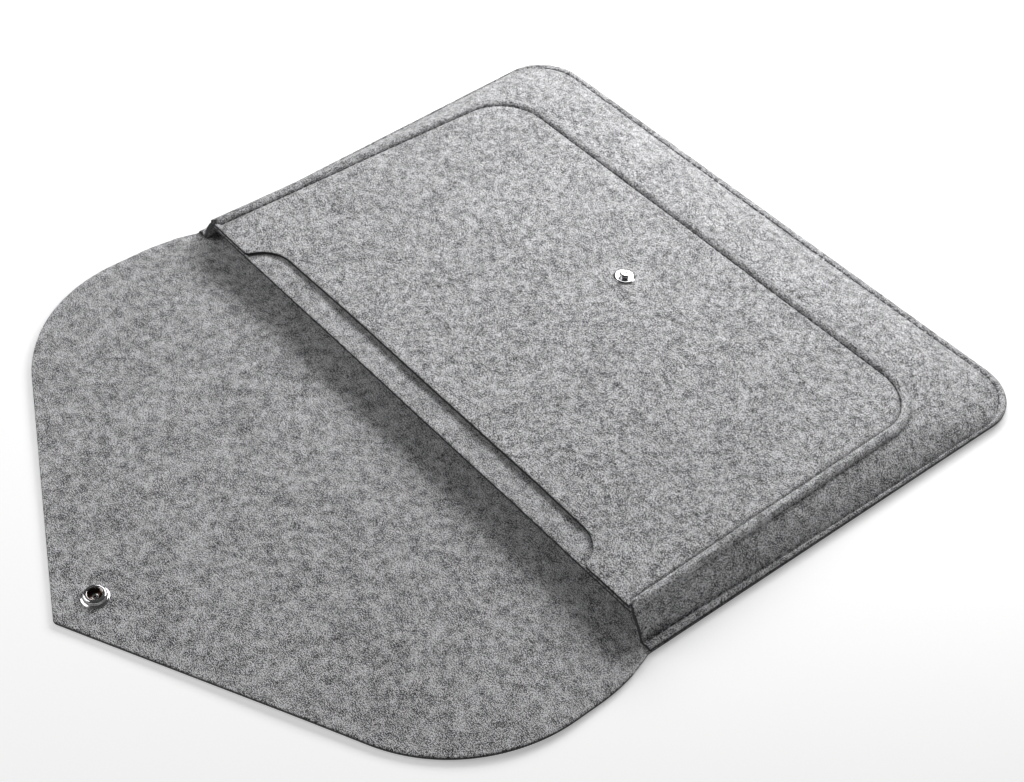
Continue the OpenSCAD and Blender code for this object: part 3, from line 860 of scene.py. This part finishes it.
# ---------------------------------------------------------------- camera, floor and light
def add_camera():
    azimuth, elevation, roll = math.radians(46.14), math.radians(45.97), math.radians(4.35)
    target, distance = Vector((0.01488, 0.05382, 0)), 0.851
    back = Vector((math.sin(azimuth) * math.cos(elevation), -math.cos(azimuth) * math.cos(elevation),
                   math.sin(elevation)))
    right = Vector((math.cos(azimuth), math.sin(azimuth), 0))
    up = back.cross(right)
    turned = right * math.cos(roll) + up * math.sin(roll)
    upward = up * math.cos(roll) - right * math.sin(roll)
    data = bpy.data.cameras.new("camera")
    data.lens, data.sensor_width = 63.81, 36.0
    camera = bpy.data.objects.new("camera", data)
    bpy.context.scene.collection.objects.link(camera)
    place = Matrix((turned, upward, back)).transposed().to_4x4()
    place.translation = target + back * distance
    camera.matrix_world = place
    bpy.context.scene.camera = camera


def add_floor():
    size = 6.0
    mesh = bpy.data.meshes.new("floor")
    corners = [(-size, -size, 0), (size, -size, 0), (size, size, 0), (-size, size, 0)]
    mesh.from_pydata(corners, [], [(0, 1, 2, 3)])
    floor = bpy.data.objects.new("floor", mesh)
    floor.location.z = -0.0003
    bpy.context.scene.collection.objects.link(floor)
    n = Nodes("floor_white")
    n.bsdf.inputs["Base Color"].default_value = (0.9, 0.9, 0.9, 1)
    n.bsdf.inputs["Roughness"].default_value = 0.9
    n.bsdf.inputs["Specular IOR Level"].default_value = 0.1
    n.bsdf.inputs["Emission Color"].default_value = (1, 1, 1, 1)
    n.bsdf.inputs["Emission Strength"].default_value = 0.36
    mesh.materials.append(n.material)


def add_light(name, place, at, size, power):
    data = bpy.data.lights.new(name, "AREA")
    data.shape, data.size, data.size_y = "RECTANGLE", size[0], size[1]
    data.energy = power
    lamp = bpy.data.objects.new(name, data)
    lamp.location = place
    lamp.rotation_euler = (Vector(at) - Vector(place)).to_track_quat("-Z", "Y").to_euler()
    bpy.context.scene.collection.objects.link(lamp)


def add_lights():
    add_light("key", (-0.9, 0.75, 0.8), (0, 0.1, 0), (0.7, 0.7), 4.3)
    add_light("far", (-0.09, 0.47, 0.36), (0, 0.15, 0), (0.5, 0.3), 2.85)
    add_light("fill", (-0.5, -0.65, 0.6), (0, -0.08, 0), (0.8, 0.8), 4.2)
    world = bpy.data.worlds.new("studio")
    world.use_nodes = True
    sky = world.node_tree.nodes["Background"]
    sky.inputs["Color"].default_value = (1, 1, 1, 1)
    sky.inputs["Strength"].default_value = 0.055
    bpy.context.scene.world = world


# ---------------------------------------------------------------- the whole sleeve
def stud_place():
    """Centre of the stud in the front panels' own plane."""
    mid = (STUD_LO + STUD_HI) / 2
    height = POCKET_Z + FELT_T + 1.4
    return (float(mid[0]), float((mid[1] - height * math.sin(SLOPE)) / math.cos(SLOPE)))


STUD_AT = stud_place()
bpy.context.scene.view_settings.view_transform = "Standard"
add_camera()
add_floor()
add_lights()

stud, socket, cap, spring = snap_stud(), snap_socket(), snap_cap(), snap_spring()
back, flap, band_piece, front = back_sheet(), flap_sheet(), band(), front_sheet()
pocket = pocket_sheet(STUD_AT)
base_stitches, ridge_stitches = base_threads(), ridge_threads()

felt = felt_material("heather_felt", DARK, LIGHT, 1.0)
for piece, slot in ((back, "felt_body"), (flap, "felt_body"), (band_piece, "felt_band"),
                    (front, "felt_front"), (pocket, "felt_front")):
    dress(piece, felt)
thread = thread_material()
dress(base_stitches, thread)
dress(ridge_stitches, thread)
chrome = metal_material("chrome_plate", (0.86, 0.86, 0.87), (0.72, 0.72, 0.74), 0.06)
socket_chrome = metal_material("socket_plate", (0.84, 0.84, 0.85), (0.7, 0.69, 0.7), 0.08,
                               inner=(3.3, (0.09, 0.055, 0.04)))
steel = metal_material("spring_steel", (0.62, 0.58, 0.54), (0.4, 0.33, 0.27), 0.25)
dress(stud, chrome)
dress(cap, chrome)
dress(socket, socket_chrome)
dress(spring, steel)
dress(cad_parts["stud_rivet"], steel)
